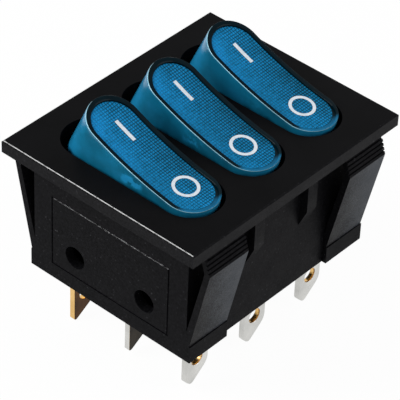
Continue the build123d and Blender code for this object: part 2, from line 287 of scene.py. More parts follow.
def lensWall():
    # clear blue moulding with flow clouds, painted light along it and a painted gleam, and painted shade
    # below an uneven line where it sinks into the housing
    material, treeNodes, links, shader = newMaterial("blueLensWall")
    coords = objectCoords(treeNodes)
    clouds = swayOn(treeNodes, links, coords, *lensLook["wallClouds"])
    tears = noiseOn(treeNodes, links, coords, *lensLook["wallTears"])
    torn = rampOn(treeNodes, links, tears, [(0.4, grey(0.0)), (0.58, grey(1.0))])
    paintedGleam = mathOn(treeNodes, links, "MULTIPLY", torn, attributeOn(treeNodes, "wallPaintedGleam"))
    level = sumOn(treeNodes, links, clouds, attributeOn(treeNodes, "wallPaintedLight"), paintedGleam)
    blue = rampOn(treeNodes, links, level, lensLook["wallShades"])
    ripple = swayOn(treeNodes, links, coords, *lensLook["wallRipple"])
    line = sumOn(treeNodes, links, ripple, attributeOn(treeNodes, "wallSinkShade"))
    shade = rampOn(treeNodes, links, line, lensLook["sinkShades"])
    deep = treeNodes.new("ShaderNodeMix")
    deep.data_type = "RGBA"
    deep.blend_type = "MULTIPLY"
    deep.inputs["Factor"].default_value = 1.0
    links.new(blue, deep.inputs[6])  # A, B and Result of the colour kind
    links.new(shade, deep.inputs[7])
    links.new(deep.outputs[2], shader.inputs["Base Color"])
    fine = noiseOn(treeNodes, links, coords, *lensLook["wallFine"])
    links.new(bumpOn(treeNodes, links, fine, *lensLook["wallBump"]), shader.inputs["Normal"])
    setGloss(shader, *lensLook["wallGloss"])
    return material


def lensEdge():
    # polished outer edge of the cap, which catches the light; its near side and O end also carry a painted
    # highlight
    material, treeNodes, links, shader = newMaterial("blueLensEdge")
    coords = objectCoords(treeNodes)
    patches = noiseOn(treeNodes, links, coords, lensLook["edgeScale"])
    level = sumOn(treeNodes, links, patches, lensLook["edgeBase"])
    level = mathOn(treeNodes, links, "MULTIPLY", level, attributeOn(treeNodes, "edgePaintedHighlight"))
    links.new(rampOn(treeNodes, links, level, lensLook["edgeShades"]), shader.inputs["Base Color"])
    gloss = rampOn(treeNodes, links, patches, [(0.3, grey(0.06)), (0.8, grey(0.16))])
    links.new(gloss, shader.inputs["Roughness"])
    shader.inputs["Specular IOR Level"].default_value = lensLook["edgeShine"]
    return material


def lensRim():
    # clear rim, painted dark as painted shade for the black inside seen through it, and painted blue at
    # the O end
    material, treeNodes, links, shader = newMaterial("blueLensRim")
    coords = objectCoords(treeNodes)
    clouds = swayOn(treeNodes, links, coords, *lensLook["rimClouds"])
    level = sumOn(treeNodes, links, clouds, attributeOn(treeNodes, "rimPaintedShade"))
    links.new(rampOn(treeNodes, links, level, lensLook["rimShades"]), shader.inputs["Base Color"])
    setGloss(shader, *lensLook["rimGloss"])
    return material


inkLook = {
    "speckScale": 2600.0,
    "shades": [(0.25, (0.55, 0.62, 0.68)), (0.6, (0.72, 0.77, 0.82))],
    "bump": (0.2, 0.02 * mm),
    "roughness": 0.5,
}


def whiteInk():
    material, treeNodes, links, shader = newMaterial("whiteMarkInk")
    coords = objectCoords(treeNodes)
    specks = noiseOn(treeNodes, links, coords, inkLook["speckScale"], 3.0)
    links.new(rampOn(treeNodes, links, specks, inkLook["shades"]), shader.inputs["Base Color"])
    links.new(bumpOn(treeNodes, links, specks, *inkLook["bump"]), shader.inputs["Normal"])
    shader.inputs["Roughness"].default_value = inkLook["roughness"]
    return material


glassLook = {
    "hazeScale": 300.0,
    "haze": [(0.3, grey(0.03)), (0.8, grey(0.12))],
    "colour": (0.95, 0.93, 0.9, 1.0),
    "clearness": 0.85,
    "ior": 1.5,
}


def lampGlass():
    material, treeNodes, links, shader = newMaterial("lampGlass")
    coords = objectCoords(treeNodes)
    haze = noiseOn(treeNodes, links, coords, glassLook["hazeScale"])
    links.new(rampOn(treeNodes, links, haze, glassLook["haze"]), shader.inputs["Roughness"])
    shader.inputs["Base Color"].default_value = glassLook["colour"]
    shader.inputs["Transmission Weight"].default_value = glassLook["clearness"]
    shader.inputs["IOR"].default_value = glassLook["ior"]
    return material


brightGrain = (0.06, 0.06, 0.064)
finishes = {
    "black_housing": mouldedPlastic(
        "blackBodyPlastic", (0.0014, 0.0014, 0.0017), (0.0066, 0.0066, 0.0077), 0.45, 0.5,
        shine=0.027, speckScale=3200.0, speck=brightGrain,
    ),
    "white_nylon": mouldedPlastic("whiteNylon", (0.62, 0.6, 0.55), (0.72, 0.7, 0.66), 0.42, 0.15),
    "resistor_body": mouldedPlastic("resistorCoat", (0.42, 0.3, 0.17), (0.5, 0.37, 0.22), 0.38, 0.1),
    "spring_steel": plainMetal("springSteel", (0.42, 0.43, 0.45), (0.55, 0.56, 0.58), 0.3, (1, 1, 1)),
    "copper_strip": plainMetal("copperStrip", (0.6, 0.28, 0.15), (0.72, 0.38, 0.22), 0.32, (1, 0.1, 1)),
    "contact_silver": plainMetal("contactSilver", (0.74, 0.73, 0.7), (0.84, 0.83, 0.8), 0.28, (1, 1, 1)),
    "tinned_brass": plainMetal("tinnedBrass", (0.5, 0.5, 0.48), (0.68, 0.675, 0.65), 0.34, (1, 1, 0.08)),
    "bare_brass": plainMetal("bareBrass", (0.62, 0.36, 0.1), (0.86, 0.58, 0.24), 0.3, (1, 1, 0.08)),
    "lamp_glass": lampGlass(),
}
# darker, smoother copy of the body plastic: painted shade on the flange's top
bezelBlack = mouldedPlastic(
    "blackBezelPlastic", (0.0022, 0.0022, 0.0025), (0.0034, 0.0034, 0.0039), 0.4, 0.1, shine=0.025
)
# paler, bluish copy of the body plastic: a painted sheen on the latch faces, with a painted light gradient
latchPaintedSheen = mouldedPlastic(
    "blackLatchPaintedSheen", (0.003, 0.003, 0.0036), (0.04, 0.045, 0.053), 0.45, 0.9,
    shine=0.05, speckScale=4800.0, toneName="latchPaintedLight",
)
# lighter, glossier copy of the body plastic: painted light on the flange's sides
flangeBlack = mouldedPlastic(
    "blackFlangePlastic", (0.0018, 0.0018, 0.0022), (0.0084, 0.0084, 0.0098), 0.45, 0.5,
    shine=0.05, speckScale=3200.0, speck=brightGrain,
)
# glossy rubbed edges; their paler dashes are a painted highlight
edgePolishAndHighlight = brokenPolishAndHighlight("blackEdgePolishAndHighlight", 0.03)
lipPolishAndHighlight = brokenPolishAndHighlight("blackLipPolishAndHighlight", 0.3)
# dark brass for the -Y faces of the lamp and common tabs: painted shade
brownPaintedShade = plainMetal("brownPaintedShade", (0.02, 0.008, 0.002), (0.1, 0.04, 0.007), 0.42, (1, 1, 0.08))
darkPaintedShade = plainMetal("darkPaintedShade", (0.006, 0.005, 0.0035), (0.028, 0.021, 0.012), 0.42, (1, 1, 0.08))
faceBlue = lensFace()
wallBlue = lensWall()
edgeBlue = lensEdge()
rimBlue = lensRim()
markWhite = whiteInk()
print("materials done")


# carried-over solids take the finish of their record slot

for part in frame["record"]["subparts"]:
    finish = finishes.get(part["material_slot"])
    if finish:
        mesh = nodes[part["node"]].data
        mesh.materials.clear()
        mesh.materials.append(finish)


def finishedObject(name, bm, materials, body, smoothAngle=35, flatFaces=False):
    mesh = bpy.data.meshes.new(name)
    bm.to_mesh(mesh)
    bm.free()
    for material in materials:
        mesh.materials.append(material)
    mesh.shade_smooth()
    mesh.set_sharp_from_angle(angle=radians(smoothAngle))
    piece = bpy.data.objects.new(name, mesh)
    bpy.context.collection.objects.link(piece)
    if flatFaces:  # wide faces stay flat right up to their eased edges
        piece.modifiers.new("flatFaces", "WEIGHTED_NORMAL").keep_sharp = True
    if body:  # a piece that bends between two bodies rides on neither
        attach(piece, body)
    return piece


# housing and terminals: the solid's own form with its moulded or stamped edges eased

easing = {
    "weld": 0.002 * mm,
    "flatAngle": 0.6,
    "sharpAngle": 25,
    "tipSpan": 0.5 * mm,
    "tipSegments": 4,
}


def easeEdges(bm, edges, offset, segments=2):
    bmesh.ops.bevel(
        bm, geom=edges, offset=offset, offset_type="OFFSET", segments=segments, profile=0.5,
        affect="EDGES", material=-1, clamp_overlap=True,
    )


def easedCopy(node, width, tipRound=0.0, tipLevel=0.0):
    bm = bmesh.new()
    bm.from_mesh(nodes[node].data)
    bmesh.ops.remove_doubles(bm, verts=bm.verts, dist=easing["weld"])
    flat = radians(easing["flatAngle"])
    bmesh.ops.dissolve_limit(bm, angle_limit=flat, verts=bm.verts, edges=bm.edges)
    sharpFrom = radians(easing["sharpAngle"])
    if tipRound:  # corners of a tab's tip, which run through its thickness
        corners = [
            e for e in bm.edges
            if e.calc_face_angle(0) > sharpFrom and max(v.co.z for v in e.verts) < tipLevel
            and abs(e.verts[0].co.y - e.verts[1].co.y) > easing["tipSpan"]
        ]
        easeEdges(bm, corners, tipRound, easing["tipSegments"])
    easeEdges(bm, [e for e in bm.edges if e.is_manifold and e.calc_face_angle(0) > sharpFrom], width)
    return bm


housingLook = {  # slopes are limits on the z of a face's normal
    "edge": 0.07 * mm,
    "bezelFrom": 1.75 * mm,
    "bezelSlope": 0.95,
    "flangeHalf": 15.65 * mm,
    "sideSlope": 0.3,
    "polishFrom": 1.72 * mm,
    "polishSlope": (0.6, 0.99),
    "edgeBand": 0.35 * mm,
    "grooveFace": -16.15 * mm,
    "lipRange": (-9.0 * mm, -4.0 * mm),
    "lipHalf": 10 * mm,
    "lipSlope": 0.3,
    "latchFace": 12.9 * mm,
    "latchArea": 20 * mm ** 2,
    "latchSlope": -0.08,
    "latchOut": 0.5,  # and on its y
    "latchPaintedLight": {"lowX": -0.12, "highX": 0.3, "foot": -0.2},  # painted light: paler away from the -X edge and the foot
}
housingFinishes = {
    "body": finishes["black_housing"],
    "bezel": bezelBlack,    # the flange's top, painted darker as painted shade
    "polishAndHighlight": edgePolishAndHighlight,    # upper edge of its two ends, with a painted highlight
    "latch": latchPaintedSheen,    # sloping face of a snap latch, with a painted sheen
    "lip": lipPolishAndHighlight,        # upper lip of the outlined panel, with a painted highlight
    "flange": flangeBlack,  # the flange's own sides, painted lighter as painted light
}
housingOrder = list(housingFinishes)
lowCorner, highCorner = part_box("housing")


def housingFinish(face):
    look = housingLook
    centre = face.calc_center_median()
    slope = face.normal.z
    endGap = min(centre.x - lowCorner[0], highCorner[0] - centre.x)
    rimGap = min(endGap, look["flangeHalf"] - abs(centre.y))
    lipLow, lipHigh = look["lipRange"]
    polishLow, polishHigh = look["polishSlope"]
    if slope > look["bezelSlope"] and centre.z > look["bezelFrom"]:
        return "bezel"
    if centre.z > look["polishFrom"] and endGap < look["edgeBand"] and polishLow < slope < polishHigh:
        return "polishAndHighlight"
    leansOut = slope < look["latchSlope"] and abs(face.normal.y) > look["latchOut"]
    if leansOut and abs(centre.y) > look["latchFace"] and face.calc_area() > look["latchArea"]:
        return "latch"
    inPanel = lipLow < centre.z < lipHigh and abs(centre.y) < look["lipHalf"]
    if inPanel and centre.x < look["grooveFace"] and slope > look["lipSlope"]:
        return "lip"
    if centre.z > 0 and abs(slope) < look["sideSlope"] and rimGap < look["edgeBand"]:
        return "flange"
    return "body"


bm = easedCopy("housing", housingLook["edge"])
everything = list(bm.verts) + list(bm.edges) + list(bm.faces)
bmesh.ops.bisect_plane(  # the polish and its painted highlight keep to the upper part of the flange's chamfer
    bm, geom=everything, plane_co=(0, 0, housingLook["polishFrom"]), plane_no=(0, 0, 1)
)
for f in bm.faces:
    f.material_index = housingOrder.index(housingFinish(f))
# painted light across each latch face
paintedLightLayer = bm.verts.layers.float.new("latchPaintedLight")
paintedLightAt = housingLook["latchPaintedLight"]
for f in [f for f in bm.faces if f.material_index == housingOrder.index("latch")]:
    lowX = min(v.co.x for v in f.verts)
    lowZ = min(v.co.z for v in f.verts)
    width = max(v.co.x for v in f.verts) - lowX
    height = max(v.co.z for v in f.verts) - lowZ
    for v in f.verts:
        across = (v.co.x - lowX) / width
        foot = 1 - (v.co.z - lowZ) / height
        v[paintedLightLayer] = paintedLightAt["lowX"] + (paintedLightAt["highX"] - paintedLightAt["lowX"]) * across + paintedLightAt["foot"] * foot
housing = finishedObject("housingMoulding", bm, housingFinishes.values(), "base", flatFaces=True)
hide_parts("housing")

terminalLook = {
    "edge": 0.06 * mm,
    "row": {"common": 0.0, "load": -9.6 * mm, "lamp": 9.6 * mm},
    "holeLevel": {"common": -23.0 * mm, "load": -23.0 * mm, "lamp": -23.8 * mm},
    "slot": {"common": "tinned_brass", "load": "tinned_brass", "lamp": "bare_brass"},
    "tipRound": {"common": 0.12 * mm, "load": 0.35 * mm, "lamp": 0.12 * mm},
    "tipLevel": -25.0 * mm,
    "holeReach": 1.2 * mm,
    "faceSlope": -0.9,  # limits on the y of a face's normal
    "holeSlope": 0.2,
    "cutSlope": -0.3,
}
paintedShade = 1
bare = 2
tabFinishes = {  # outer faces and sheared edges, -Y faces darker as painted shade on the common and lamp tabs, bare hole wall and cuts
    "common": [finishes["tinned_brass"], darkPaintedShade, finishes["bare_brass"]],
    "load": [finishes["tinned_brass"], finishes["tinned_brass"], finishes["bare_brass"]],
    "lamp": [finishes["bare_brass"], brownPaintedShade, finishes["bare_brass"]],
}
for number in switchNumbers:
    for row, slotName in terminalLook["slot"].items():
        node = f"{row}_terminal_{number}"
        bm = easedCopy(
            node, terminalLook["edge"], terminalLook["tipRound"][row], terminalLook["tipLevel"]
        )
        holeLevel = terminalLook["holeLevel"][row]
        holeCentre = Vector((switchX(number), terminalLook["row"][row], holeLevel))
        for f in bm.faces:
            away = f.calc_center_median() - holeCentre
            away.y = 0
            slope = f.normal.y
            if slope < terminalLook["faceSlope"]:
                f.material_index = paintedShade
            elif away.length < terminalLook["holeReach"] and abs(slope) < terminalLook["holeSlope"]:
                f.material_index = bare
            elif row == "common" and slope < terminalLook["cutSlope"]:
                f.material_index = bare  # where the plating was cut
        terminal = finishedObject(f"{row}Tab.{number}", bm, tabFinishes[row], "base", flatFaces=True)
        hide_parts(node)
print("housing and terminals done")


# rockers

rocker = {
    "pivotDrop": 1.3 * mm,
    "tilt": 16.5,
    "halfWidth": 3.75 * mm,
    "rimReach": 10.1 * mm,
    "footReach": 11.2 * mm,
    "height": 5.5 * mm,
    "dish": 48.5 * mm,
    "skirt": 1.8 * mm,
    "wall": 0.9 * mm,
    "rimWidth": 0.6 * mm,
    "endShare": {"O": 0.55, "I": -0.2},  # slimmer rim at the O end, wider at the I end
    "rimDrop": 0.27 * mm,
    "edge": 0.065 * mm,
    "edgeTurns": (30, 60, 90),
    "ceilingInset": 1.44 * mm,
    "endSegments": 64,
    "sideCuts": 30,
    "wallSteps": 20,
    "settleSteps": 6,
    "closeShares": (0.35, 0.7, 1.0),
    "stem": 3.7 * mm,
    "stemDrop": 6.0 * mm,
    "stemEdge": 0.2 * mm,
    "trunnion": 1.2 * mm,
    "trunnionReach": 4.9 * mm,
    "trunnionEdge": 0.15 * mm,
    "trunnionSegments": 32,
}


def dishRise(y):
    return rocker["height"] + rocker["dish"] - sqrt(rocker["dish"] ** 2 - y ** 2)


def spineAt(z):
    # half-length of the straight side at height z; the end walls lean in towards the rim
    rimRise = dishRise(rocker["rimReach"])
    lean = (rocker["footReach"] - rocker["rimReach"]) / (rocker["skirt"] + rimRise)
    return rocker["rimReach"] + (rimRise - z) * lean - rocker["halfWidth"]


def wallPlace(base, inset, z):
    # base.y runs from -1 to 1 along the straight side and on to 2 round an end
    middle = max(-1, min(1, base.y))
    radius = rocker["halfWidth"] - inset
    spare = min(inset, rocker["rimWidth"]) * rocker["endShare"]["O" if middle < 0 else "I"]
    return Vector((base.x * radius, middle * (spineAt(z) + spare) + (base.y - middle) * radius, z))


def rimPlace(base, inset, drop):
    # the same point on the dished top, drop below it
    place = wallPlace(base, inset, rocker["height"])
    for _ in range(rocker["settleSteps"]):
        place = wallPlace(base, inset, dishRise(place.y) - drop)
    return place


def slotRing(bm, baseLayer):
    segments = rocker["endSegments"]
    halfStep = Matrix.Rotation(pi / segments, 4, "Z")
    bmesh.ops.create_circle(bm, segments=segments, radius=1, matrix=halfStep)
    for v in bm.verts:
        v.co.y += copysign(1, v.co.y)
    sides = [e for e in bm.edges if e.verts[0].co.y * e.verts[1].co.y < 0]
    bmesh.ops.subdivide_edges(bm, edges=sides, cuts=rocker["sideCuts"], use_grid_fill=False)
    for v in bm.verts:
        v[baseLayer] = v.co.copy()
    return list(bm.edges)


def vertsOf(geom):
    return [g for g in geom if isinstance(g, bmesh.types.BMVert)]


def nextRing(bm, ring, placeOf, baseLayer):
    grown = bmesh.ops.extrude_edge_only(bm, edges=ring)["geom"]
    newVerts = vertsOf(grown)
    for v in newVerts:
        v.co = placeOf(v[baseLayer])
    newFaces = [g for g in grown if isinstance(g, bmesh.types.BMFace)]
    newEdges = [g for g in grown if isinstance(g, bmesh.types.BMEdge)]
    return [e for e in newEdges if set(e.verts) <= set(newVerts)], newFaces


def closeToSpine(bm, ring, inset, drop, baseLayer):
    # rings that shrink onto the slot's middle line, so the fill follows the dish
    closed = []
    for share in rocker["closeShares"]:
        depth = inset + (rocker["halfWidth"] - inset) * share
        ring, faces = nextRing(bm, ring, lambda base: rimPlace(base, depth, drop), baseLayer)
        closed += faces
    return closed


def smoothStep(value, low, high):
    share = max(0.0, min(1.0, (value - low) / (high - low)))
    return share * share * (3 - 2 * share)


def fade(value, gain, low, high):
    return gain * smoothStep(value, low, high)


wallLook = {  # painted light and shade on the cap's wall; fades are given as gain, start and end
    "sinkLevel": 3.1 * mm,                  # the flange's top over the pivot
    "middle": 0.56,
    "oEnd": (0.35, 5.5 * mm, 9.5 * mm),
    "dim": (0.19, -1 * mm, 3 * mm),         # painted shade, deeper from the middle on
    "iEnd": (0.22, 7 * mm, 9.5 * mm),
    "paintedGleam": {1: 1.2, 2: 0.5, 3: 0.15},     # painted highlight: pale spot low on the side wall
    "gleamPlace": -0.6 * mm,
    "gleamLength": (0.5 * mm, 2.0 * mm),
    "gleamRise": 0.75 * mm,
    "gleamHeight": (0.15 * mm, 0.9 * mm),
    "lineRise": -0.25 * mm,                 # the painted shade line's height over the flange midway
    "lineDip": (0.3 * mm, 3.5 * mm, 7 * mm),  # how far it drops at the ends
    "lineLevel": 0.5,
    "linePerMm": 0.35,
}
# painted highlight on the cap's outer edge, at its near side and O end
edgeLook = {
    "near": (0.0, 0.7),                     # shares of the half width towards -X
    "oSideLevel": 0.6,
    "oSideFade": (0.4, -6 * mm, 3 * mm),
    "oEnd": (0.4, 0.75, 0.95),              # shares of the reach
    "oEndNear": (-0.7, 0.0),
    "dullBelow": 0.12,
}
# painted shade on the rim, lighter blue at the O end
rimLook = {
    "level": 0.12,
    "oEnd": (0.6, 7.9 * mm, 9.3 * mm),
    "oEndLean": 0.3,
}


def overFlange(point):
    turn = radians(rocker["tilt"])
    return point.y * sin(turn) + point.z * cos(turn) - wallLook["sinkLevel"]


def wallPaintedLightAt(point):
    ends = fade(-point.y, *wallLook["oEnd"]) + fade(point.y, *wallLook["iEnd"])
    return wallLook["middle"] + ends - fade(-point.y, *wallLook["dim"])


def wallPaintedGleamAt(point):
    along = smoothStep(abs(point.y - wallLook["gleamPlace"]), *wallLook["gleamLength"])
    upward = smoothStep(abs(overFlange(point) - wallLook["gleamRise"]), *wallLook["gleamHeight"])
    return (1 - along) * (1 - upward)


def wallSinkShadeAt(point):
    # painted shade: lineLevel on the dark line, which drops away towards both ends
    over = overFlange(point) - wallLook["lineRise"] + fade(abs(point.y), *wallLook["lineDip"])
    return wallLook["lineLevel"] + wallLook["linePerMm"] * over / mm


def edgePaintedHighlightAt(point):
    nearness = -point.x / rocker["halfWidth"]
    side = edgeLook["oSideLevel"] + fade(point.y, *edgeLook["oSideFade"])
    end = fade(-point.y / rocker["rimReach"], *edgeLook["oEnd"])
    return max(
        side * smoothStep(nearness, *edgeLook["near"]), end * smoothStep(nearness, *edgeLook["oEndNear"])
    )


def rimPaintedShadeAt(point):
    return rimLook["level"] + fade(-point.y - rimLook["oEndLean"] * point.x, *rimLook["oEnd"])


capFinishes = {"wall": wallBlue, "rim": rimBlue, "edge": edgeBlue}
capOrder = list(capFinishes)


def capMesh(paintedGleam):
    bm = bmesh.new()
    baseLayer = bm.verts.layers.float_vector.new("base")
    paintedLightLayer = bm.verts.layers.float.new("wallPaintedLight")
    paintedGleamLayer = bm.verts.layers.float.new("wallPaintedGleam")
    sinkShadeLayer = bm.verts.layers.float.new("wallSinkShade")
    rimShadeLayer = bm.verts.layers.float.new("rimPaintedShade")
    edgeHighlightLayer = bm.verts.layers.float.new("edgePaintedHighlight")
    ring = slotRing(bm, baseLayer)
    skirt = rocker["skirt"]
    for v in bm.verts:
        v.co = wallPlace(v[baseLayer], 0, -skirt)
    steps = rocker["wallSteps"]
    edge = rocker["edge"]
    foot = list(ring)

    def tagged(faces, finish):
        for f in faces:
            f.material_index = capOrder.index(finish)

    def grow(ring, placeOf, finish):
        ring, faces = nextRing(bm, ring, placeOf, baseLayer)
        tagged(faces, finish)
        return ring

    for step in range(1, steps + 1):
        def stepPlace(base, share=step / steps):
            top = rimPlace(base, 0, edge)
            return wallPlace(base, 0, -skirt + (top.z + skirt) * share)
        ring = grow(ring, stepPlace, "wall")
    for turn in rocker["edgeTurns"]:  # rounded outer edge of the rim
        inset = edge * (1 - cos(radians(turn)))
        drop = edge * (1 - sin(radians(turn)))
        ring = grow(ring, lambda base: rimPlace(base, inset, drop), "edge")
    rimWidth = rocker["rimWidth"]
    rimDrop = rocker["rimDrop"]
    for inset, drop in ((rimWidth - edge, 0), (rimWidth, edge), (rimWidth, rimDrop)):
        ring = grow(ring, lambda base: rimPlace(base, inset, drop), "rim")
    tagged(closeToSpine(bm, ring, rimWidth, rimDrop, baseLayer), "rim")
    # skirt edge, hollow and ceiling
    inset = rocker["ceilingInset"]
    ceiling = rimDrop + rocker["wall"]
    ring = grow(foot, lambda base: wallPlace(base, rocker["wall"], -skirt), "wall")
    ring = grow(ring, lambda base: rimPlace(base, inset, ceiling), "wall")
    tagged(closeToSpine(bm, ring, inset, ceiling, baseLayer), "wall")
    bmesh.ops.remove_doubles(bm, verts=bm.verts, dist=weldGap)
    bmesh.ops.recalc_face_normals(bm, faces=bm.faces)
    # painted light, gleam, shade line, edge highlight and rim shade on the cap
    for v in bm.verts:
        v[paintedLightLayer] = wallPaintedLightAt(v.co)
        v[paintedGleamLayer] = paintedGleam * wallPaintedGleamAt(v.co)
        v[sinkShadeLayer] = wallSinkShadeAt(v.co)
        v[edgeHighlightLayer] = edgePaintedHighlightAt(v.co)
        v[rimShadeLayer] = rimPaintedShadeAt(v.co)
    for f in bm.faces:  # only the near and O-end edges keep the polished edge and its painted highlight
        polishAndHighlight = max(v[edgeHighlightLayer] for v in f.verts)
        if f.material_index == capOrder.index("edge") and polishAndHighlight < edgeLook["dullBelow"]:
            f.material_index = capOrder.index("rim")
    return bm


def addStemAndTrunnions(bm):
    stemTop = rocker["height"] - rocker["rimDrop"] - rocker["wall"]
    length = stemTop + rocker["stemDrop"]
    place = Matrix.Translation((0, 0, stemTop - length / 2))
    size = Matrix.Diagonal((rocker["stem"], rocker["stem"], length, 1))
    stem = bmesh.ops.create_cube(bm, size=1, matrix=place @ size)["verts"]
    easeEdges(bm, list({e for v in stem for e in v.link_edges}), rocker["stemEdge"])
    for way in (-1, 1):
        length = rocker["trunnionReach"] - rocker["halfWidth"] + rocker["wall"] / 2
        place = Matrix.Translation((way * (rocker["trunnionReach"] - length / 2), 0, 0))
        pin = bmesh.ops.create_cone(
            bm, cap_ends=True, segments=rocker["trunnionSegments"],
            radius1=rocker["trunnion"], radius2=rocker["trunnion"],
            depth=length, matrix=place @ Matrix.Rotation(radians(90), 4, "Y"),
        )["verts"]
        pinEdges = {e for v in pin for e in v.link_edges}
        rims = [e for e in pinEdges if e.calc_face_angle(0) > radians(60)]
        easeEdges(bm, rims, rocker["trunnionEdge"])


gridLook = {
    "cell": 0.387 * mm,
    "groove": 0.083 * mm,
    "cellRise": 0.05 * mm,
    "gap": 0.02 * mm,
    "lift": 0.015 * mm,
    # painted light and shade on the face: level, per rocker, ends, far side and one corner, and the groove
    # shade's depth
    "tone": 0.505,
    "paintedLightShift": {1: 0.03, 2: -0.02, 3: 0.0},
    "iEnd": (0.14, -3 * mm, 7 * mm),
    "oEnd": (0.06, 4 * mm, 8 * mm),
    "farSide": -0.17,
    "cornerLean": 0.5,
    "corner": (0.2, 0.8, 1.4),
    "depth": 0.3,
    "depthSide": (0.6, -0.9, 0.2),
    "depthCorner": (0.6, 0.7, 1.2),
}


def gridMesh(paintedLightShift):
    # moulded grid: a sheet of small raised cells cut to the recess and laid on the dish
    bm = bmesh.new()
    rise = bm.verts.layers.float.new("cellRise")
    paintedLightLayer = bm.verts.layers.float.new("facePaintedLight")
    grooveShadeLayer = bm.verts.layers.float.new("grooveShadeDepth")
    cell = gridLook["cell"]
    endPoint = rimPlace(Vector((0, 2, 0)), rocker["rimWidth"], rocker["rimDrop"])
    recessEnd = endPoint.y - gridLook["gap"]
    halfWidth = rocker["halfWidth"] - rocker["rimWidth"] - gridLook["gap"]
    spine = recessEnd - halfWidth
    columns = int(halfWidth / cell) + 1
    rows = int(recessEnd / cell) + 1
    bmesh.ops.create_grid(
        bm, x_segments=2 * columns, y_segments=2 * rows, size=1,
        matrix=Matrix.Diagonal((columns * cell, rows * cell, 1, 1)),
    )

    def onSpine(point):
        return Vector((0, max(-spine, min(spine, point.y)), 0))

    def outside(point):
        return (point - onSpine(point)).length > halfWidth

    far = [f for f in bm.faces if outside(f.calc_center_median())]
    bmesh.ops.delete(bm, geom=far, context="FACES")
    for v in bm.verts:
        if v.is_boundary:  # draw the cut edge onto the recess outline
            middle = onSpine(v.co)
            v.co = middle + (v.co - middle).normalized() * halfWidth
    cellTops = list(bm.faces)
    bmesh.ops.inset_individual(
        bm, faces=cellTops, thickness=gridLook["groove"], use_even_offset=True
    )
    for v in {v for f in cellTops for v in f.verts}:
        v[rise] = 1.0
    # painted light and shade on the face and how deep the grooves are painted
    for v in bm.verts:
        side = v.co.x / halfWidth
        corner = v.co.y / recessEnd - gridLook["cornerLean"] * side
        along = fade(v.co.y, *gridLook["iEnd"]) + fade(-v.co.y, *gridLook["oEnd"])
        across = gridLook["farSide"] * side + fade(corner, *gridLook["corner"])
        v[paintedLightLayer] = gridLook["tone"] + paintedLightShift + along + across
        clearer = 1 - fade(corner, *gridLook["depthCorner"])
        v[grooveShadeLayer] = gridLook["depth"] + fade(side, *gridLook["depthSide"]) * clearer
        lift = gridLook["lift"] + v[rise] * gridLook["cellRise"]
        v.co.z = dishRise(v.co.y) - rocker["rimDrop"] + lift
    return bm


marks = {
    "barPlace": (0.3 * mm, 4.95 * mm),
    "barLength": 3.3 * mm,
    "barWidth": 0.5 * mm,
    "barSteps": 12,
    "ringPlace": (0.2 * mm, -5.45 * mm),
    "ring": 1.74 * mm,
    "ringWidth": 0.42 * mm,
    "ringSegments": 64,
    "lift": 0.02 * mm,
    "thickness": 0.03 * mm,
    "printShift": {1: (0, -0.08 * mm), 2: (-0.2 * mm, 0.2 * mm), 3: (-0.05 * mm, 0.16 * mm)},
}


def markMesh(number):
    bm = bmesh.new()
    bmesh.ops.create_grid(
        bm, x_segments=2, y_segments=marks["barSteps"], size=0.5,
        matrix=Matrix.Translation((*marks["barPlace"], 0))
        @ Matrix.Diagonal((marks["barWidth"], marks["barLength"], 1, 1)),
    )
    centre = Vector((*marks["ringPlace"], 0))
    ring = bmesh.ops.create_circle(
        bm, segments=marks["ringSegments"], radius=marks["ring"], matrix=Matrix.Translation(centre)
    )["verts"]
    rim = list({e for v in ring for e in v.link_edges})
    grown = bmesh.ops.extrude_edge_only(bm, edges=rim)["geom"]
    share = (marks["ring"] - marks["ringWidth"]) / marks["ring"]
    for v in vertsOf(grown):
        v.co = centre + (v.co - centre) * share
    bmesh.ops.translate(bm, verts=bm.verts, vec=(*marks["printShift"][number], 0))
    bmesh.ops.recalc_face_normals(bm, faces=bm.faces)
    foot = gridLook["cellRise"] + marks["lift"] - rocker["rimDrop"]
    raised = set(vertsOf(bmesh.ops.extrude_face_region(bm, geom=list(bm.faces))["geom"]))
    for v in bm.verts:
        v.co.z = dishRise(v.co.y) + foot + (marks["thickness"] if v in raised else 0)
    bmesh.ops.recalc_face_normals(bm, faces=bm.faces)
    return bm


def restPlace(number):
    pivot = Matrix.Translation((switchX(number), 0, -rocker["pivotDrop"]))
    return pivot @ Matrix.Rotation(radians(rocker["tilt"]), 4, "X")


for number in switchNumbers:
    bm = capMesh(wallLook["paintedGleam"][number])
    addStemAndTrunnions(bm)
    bm.transform(restPlace(number))
    cap = finishedObject(f"rockerCap.{number}", bm, capFinishes.values(), f"rocker_{number}", 40)
    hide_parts(f"rocker_{number}")
    bm = gridMesh(gridLook["paintedLightShift"][number])
    bm.transform(restPlace(number))
    grid = finishedObject(f"rockerGrid.{number}", bm, [faceBlue], f"rocker_{number}", 10)
    bm = markMesh(number)
    bm.transform(restPlace(number))
    ink = finishedObject(f"rockerMarks.{number}", bm, [markWhite], f"rocker_{number}")
print("rockers done")


# springs: round wire wound on the solids' own lines

coil = {
    "turns": 3,
    "stepsPerTurn": 24,
    "wire": 0.35 * mm,
    "wireSides": 10,
    "shelfLevel": -13.6 * mm,
    "feedRadius": 0.75 * mm,
    "lampCentre": (0.15 * mm, 8.68 * mm),
    "lampLength": 12.33 * mm,
    "lampKeep": 0.57,            # share of its length left when the I end is down
    "resistorCentre": (0.75 * mm, -7.43 * mm),
    "resistorLength": 7.55 * mm,
    "plungerRadius": 0.85 * mm,
    "plungerFoot": -2.75 * mm,
    "plungerLength": 4.1 * mm,
}


